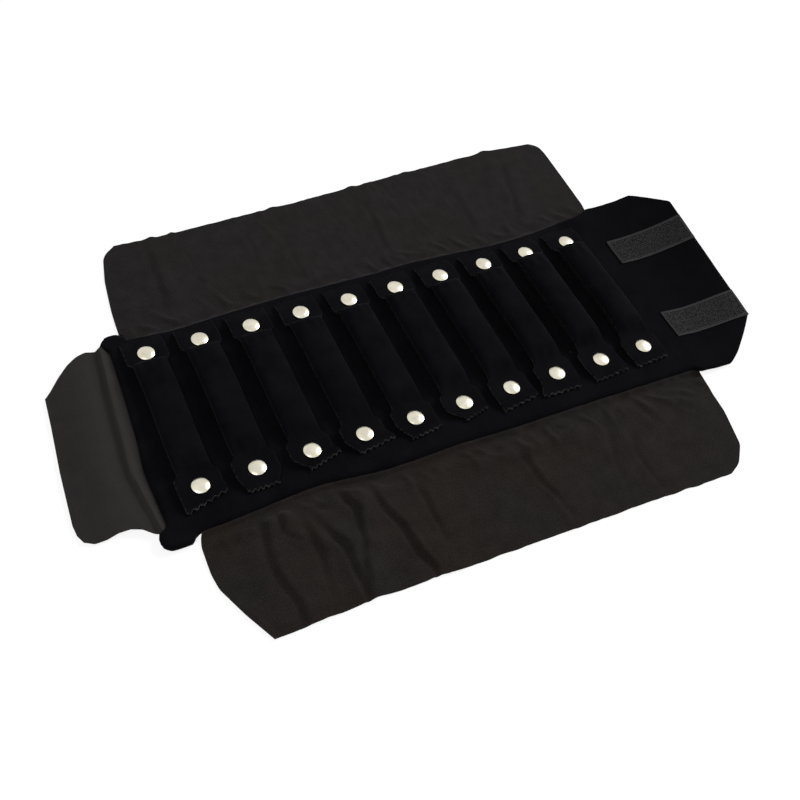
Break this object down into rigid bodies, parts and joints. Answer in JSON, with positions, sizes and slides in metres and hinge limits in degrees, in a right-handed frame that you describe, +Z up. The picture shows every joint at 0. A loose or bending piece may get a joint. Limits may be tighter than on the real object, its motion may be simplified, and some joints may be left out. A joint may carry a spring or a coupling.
{
  "type": "jewelry roll",
  "caption": "Padded velvet jewelry roll laid open: stuffed snap bars for rings, fold-over cloth wings, an end flap, and a closing flap with hook strips.",
  "frame": {"origin": "on the table, under the middle of the two rows of studs, on the panel's underside", "axes": "+X along the roll to the closing flap, +Y to the far wing, +Z up from the table"},
  "size_m": [0.5227, 0.3446, 0.021],
  "materials": {
    "velvet": "black cotton velvet, short pile",
    "wing_cloth": "thin dark brown-grey brushed cloth",
    "nickel": "nickel-plated press studs, pale warm tone",
    "hook_tape": "dark grey woven hook-and-loop tape"
  },
  "bodies": {
    "panel_1": {"panel_section_1": "velvet", "bar_1_far_tab": "velvet", "bar_1_far_snap": "nickel", "bar_2_far_tab": "velvet", "bar_2_far_snap": "nickel", "loop_patch": "hook_tape"},
    "panel_2": {"panel_section_2": "velvet", "bar_3_far_tab": "velvet", "bar_3_far_snap": "nickel", "bar_4_far_tab": "velvet", "bar_4_far_snap": "nickel"},
    "panel_3": {"panel_section_3": "velvet", "bar_5_far_tab": "velvet", "bar_5_far_snap": "nickel", "bar_6_far_tab": "velvet", "bar_6_far_snap": "nickel"},
    "panel_4": {"panel_section_4": "velvet", "bar_7_far_tab": "velvet", "bar_7_far_snap": "nickel", "bar_8_far_tab": "velvet", "bar_8_far_snap": "nickel"},
    "panel_5": {"panel_section_5": "velvet", "bar_9_far_tab": "velvet", "bar_9_far_snap": "nickel", "bar_10_far_tab": "velvet", "bar_10_far_snap": "nickel"},
    "far_wing_1": {"far_wing_1": "wing_cloth"},
    "near_wing_1": {"near_wing_1": "wing_cloth"},
    "far_wing_2": {"far_wing_2": "wing_cloth"},
    "near_wing_2": {"near_wing_2": "wing_cloth"},
    "far_wing_3": {"far_wing_3": "wing_cloth"},
    "near_wing_3": {"near_wing_3": "wing_cloth"},
    "far_wing_4": {"far_wing_4": "wing_cloth"},
    "near_wing_4": {"near_wing_4": "wing_cloth"},
    "far_wing_5": {"far_wing_5": "wing_cloth"},
    "near_wing_5": {"near_wing_5": "wing_cloth"},
    "bar_1": {"bar_1": "velvet", "bar_1_near_snap": "nickel"},
    "bar_2": {"bar_2": "velvet", "bar_2_near_snap": "nickel"},
    "bar_3": {"bar_3": "velvet", "bar_3_near_snap": "nickel"},
    "bar_4": {"bar_4": "velvet", "bar_4_near_snap": "nickel"},
    "bar_5": {"bar_5": "velvet", "bar_5_near_snap": "nickel"},
    "bar_6": {"bar_6": "velvet", "bar_6_near_snap": "nickel"},
    "bar_7": {"bar_7": "velvet", "bar_7_near_snap": "nickel"},
    "bar_8": {"bar_8": "velvet", "bar_8_near_snap": "nickel"},
    "bar_9": {"bar_9": "velvet", "bar_9_near_snap": "nickel"},
    "bar_10": {"bar_10": "velvet", "bar_10_near_snap": "nickel"},
    "end_flap": {"end_flap": "wing_cloth"},
    "closing_flap": {"closing_flap": "velvet", "hook_strip_far": "hook_tape", "hook_strip_near": "hook_tape"}
  },
  "joints": [
    {"name": "roll_crease_2", "type": "hinge", "parent": "panel_3", "child": "panel_2", "pos_m": [-0.038, 0, 0.0085], "axis": [0, -1, 0], "range_deg": [-60, 0]},
    {"name": "roll_crease_1", "type": "hinge", "parent": "panel_2", "child": "panel_1", "pos_m": [-0.114, 0, 0.0085], "axis": [0, -1, 0], "range_deg": [-65, 0]},
    {"name": "roll_crease_3", "type": "hinge", "parent": "panel_3", "child": "panel_4", "pos_m": [0.038, 0, 0.0085], "axis": [0, 1, 0], "range_deg": [-60, 0]},
    {"name": "roll_crease_4", "type": "hinge", "parent": "panel_4", "child": "panel_5", "pos_m": [0.114, 0, 0.0085], "axis": [0, 1, 0], "range_deg": [-55, 0]},
    {"name": "far_wing_1_fold", "type": "hinge", "parent": "panel_1", "child": "far_wing_1", "pos_m": [-0.152, 0.08715, 0.008], "axis": [-1, 0, 0], "range_deg": [-165, 0], "deforming": ["far_wing_1"]},
    {"name": "far_wing_2_fold", "type": "hinge", "parent": "panel_2", "child": "far_wing_2", "pos_m": [-0.076, 0.08715, 0.008], "axis": [-1, 0, 0], "range_deg": [-165, 0], "deforming": ["far_wing_2"]},
    {"name": "far_wing_3_fold", "type": "hinge", "parent": "panel_3", "child": "far_wing_3", "pos_m": [0, 0.08715, 0.008], "axis": [-1, 0, 0], "range_deg": [-165, 0], "deforming": ["far_wing_3"]},
    {"name": "far_wing_4_fold", "type": "hinge", "parent": "panel_4", "child": "far_wing_4", "pos_m": [0.076, 0.08715, 0.008], "axis": [-1, 0, 0], "range_deg": [-165, 0], "deforming": ["far_wing_4"]},
    {"name": "far_wing_5_fold", "type": "hinge", "parent": "panel_5", "child": "far_wing_5", "pos_m": [0.152, 0.08715, 0.008], "axis": [-1, 0, 0], "range_deg": [-165, 0], "deforming": ["far_wing_5"]},
    {"name": "near_wing_1_fold", "type": "hinge", "parent": "panel_1", "child": "near_wing_1", "pos_m": [-0.152, -0.08715, 0.008], "axis": [1, 0, 0], "range_deg": [-165, 0], "deforming": ["near_wing_1"]},
    {"name": "near_wing_2_fold", "type": "hinge", "parent": "panel_2", "child": "near_wing_2", "pos_m": [-0.076, -0.08715, 0.008], "axis": [1, 0, 0], "range_deg": [-165, 0], "deforming": ["near_wing_2"]},
    {"name": "near_wing_3_fold", "type": "hinge", "parent": "panel_3", "child": "near_wing_3", "pos_m": [0, -0.08715, 0.008], "axis": [1, 0, 0], "range_deg": [-165, 0], "deforming": ["near_wing_3"]},
    {"name": "near_wing_4_fold", "type": "hinge", "parent": "panel_4", "child": "near_wing_4", "pos_m": [0.076, -0.08715, 0.008], "axis": [1, 0, 0], "range_deg": [-165, 0], "deforming": ["near_wing_4"]},
    {"name": "near_wing_5_fold", "type": "hinge", "parent": "panel_5", "child": "near_wing_5", "pos_m": [0.152, -0.08715, 0.008], "axis": [1, 0, 0], "range_deg": [-165, 0], "deforming": ["near_wing_5"]},
    {"name": "end_flap_fold", "type": "hinge", "parent": "panel_1", "child": "end_flap", "pos_m": [-0.20115, 0, 0.008], "axis": [0, -1, 0], "range_deg": [-125, 0]},
    {"name": "closing_flap_fold", "type": "hinge", "parent": "panel_5", "child": "closing_flap", "pos_m": [0.2032, 0, 0.008], "axis": [0, 1, 0], "range_deg": [-55, 0]},
    {"name": "bar_1_lift", "type": "hinge", "parent": "panel_1", "child": "bar_1", "pos_m": [-0.171, 0.0472, 0.0128], "axis": [-1, 0, 0], "range_deg": [0, 95]},
    {"name": "bar_2_lift", "type": "hinge", "parent": "panel_1", "child": "bar_2", "pos_m": [-0.133, 0.0472, 0.0128], "axis": [-1, 0, 0], "range_deg": [0, 95]},
    {"name": "bar_3_lift", "type": "hinge", "parent": "panel_2", "child": "bar_3", "pos_m": [-0.095, 0.0472, 0.0128], "axis": [-1, 0, 0], "range_deg": [0, 95]},
    {"name": "bar_4_lift", "type": "hinge", "parent": "panel_2", "child": "bar_4", "pos_m": [-0.057, 0.0472, 0.0128], "axis": [-1, 0, 0], "range_deg": [0, 95]},
    {"name": "bar_5_lift", "type": "hinge", "parent": "panel_3", "child": "bar_5", "pos_m": [-0.019, 0.0472, 0.0128], "axis": [-1, 0, 0], "range_deg": [0, 95]},
    {"name": "bar_6_lift", "type": "hinge", "parent": "panel_3", "child": "bar_6", "pos_m": [0.019, 0.0472, 0.0128], "axis": [-1, 0, 0], "range_deg": [0, 95]},
    {"name": "bar_7_lift", "type": "hinge", "parent": "panel_4", "child": "bar_7", "pos_m": [0.057, 0.0472, 0.0128], "axis": [-1, 0, 0], "range_deg": [0, 95]},
    {"name": "bar_8_lift", "type": "hinge", "parent": "panel_4", "child": "bar_8", "pos_m": [0.095, 0.0472, 0.0128], "axis": [-1, 0, 0], "range_deg": [0, 95]},
    {"name": "bar_9_lift", "type": "hinge", "parent": "panel_5", "child": "bar_9", "pos_m": [0.133, 0.0472, 0.0128], "axis": [-1, 0, 0], "range_deg": [0, 95]},
    {"name": "bar_10_lift", "type": "hinge", "parent": "panel_5", "child": "bar_10", "pos_m": [0.171, 0.0472, 0.0128], "axis": [-1, 0, 0], "range_deg": [0, 95]}
  ],
  "couplings": [
    {"joint": "roll_crease_1", "follows": "roll_crease_2", "ratio": 1.0833},
    {"joint": "roll_crease_3", "follows": "roll_crease_2", "ratio": 1},
    {"joint": "roll_crease_4", "follows": "roll_crease_2", "ratio": 0.9166},
    {"joint": "far_wing_1_fold", "follows": "far_wing_3_fold", "ratio": 1},
    {"joint": "far_wing_2_fold", "follows": "far_wing_3_fold", "ratio": 1},
    {"joint": "far_wing_4_fold", "follows": "far_wing_3_fold", "ratio": 1},
    {"joint": "far_wing_5_fold", "follows": "far_wing_3_fold", "ratio": 1},
    {"joint": "near_wing_1_fold", "follows": "near_wing_3_fold", "ratio": 1},
    {"joint": "near_wing_2_fold", "follows": "near_wing_3_fold", "ratio": 1},
    {"joint": "near_wing_4_fold", "follows": "near_wing_3_fold", "ratio": 1},
    {"joint": "near_wing_5_fold", "follows": "near_wing_3_fold", "ratio": 1}
  ]
}
